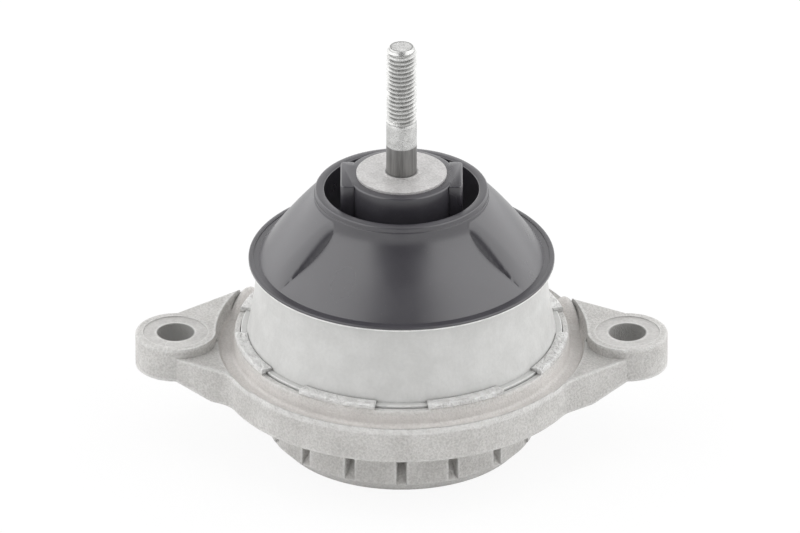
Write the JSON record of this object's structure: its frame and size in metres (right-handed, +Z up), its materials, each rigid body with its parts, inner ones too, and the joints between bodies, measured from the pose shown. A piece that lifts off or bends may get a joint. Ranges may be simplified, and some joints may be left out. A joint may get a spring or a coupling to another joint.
{
  "type": "hydraulic engine mount",
  "caption": "Hydraulic engine mount: a cast housing with bolt ears, a staked steel sleeve, and a rubber spring round a metal core with an upright threaded stud.",
  "frame": {"origin": "centre of the cup's underside, on the surface that the part stands on", "axes": "+Z up along the stud; X through the two ear holes; the picture looks from the -Y side"},
  "size_m": [0.1744, 0.1206, 0.142],
  "materials": {
    "cast_aluminium": "die-cast, matt with a fine grain",
    "sleeve_steel": "satin plated",
    "spring_rubber": "moulded, semi-gloss",
    "core_aluminium": "turned, dull",
    "stud_steel": "zinc plated",
    "plate_steel": "plain pressed",
    "plate_aluminium": "die-cast",
    "rivet_steel": "plated",
    "membrane_rubber": "moulded, matt"
  },
  "bodies": {
    "root": {"housing": "cast_aluminium", "outer_sleeve": "sleeve_steel", "rubber_spring": "spring_rubber", "inner_core": "core_aluminium", "stud": "stud_steel", "cover_plate": "plate_steel", "channel_plate": "plate_aluminium", "plate_rivets": "rivet_steel", "decoupler": "membrane_rubber", "bellows": "membrane_rubber", "bead_ring": "plate_steel"}
  },
  "joints": []
}
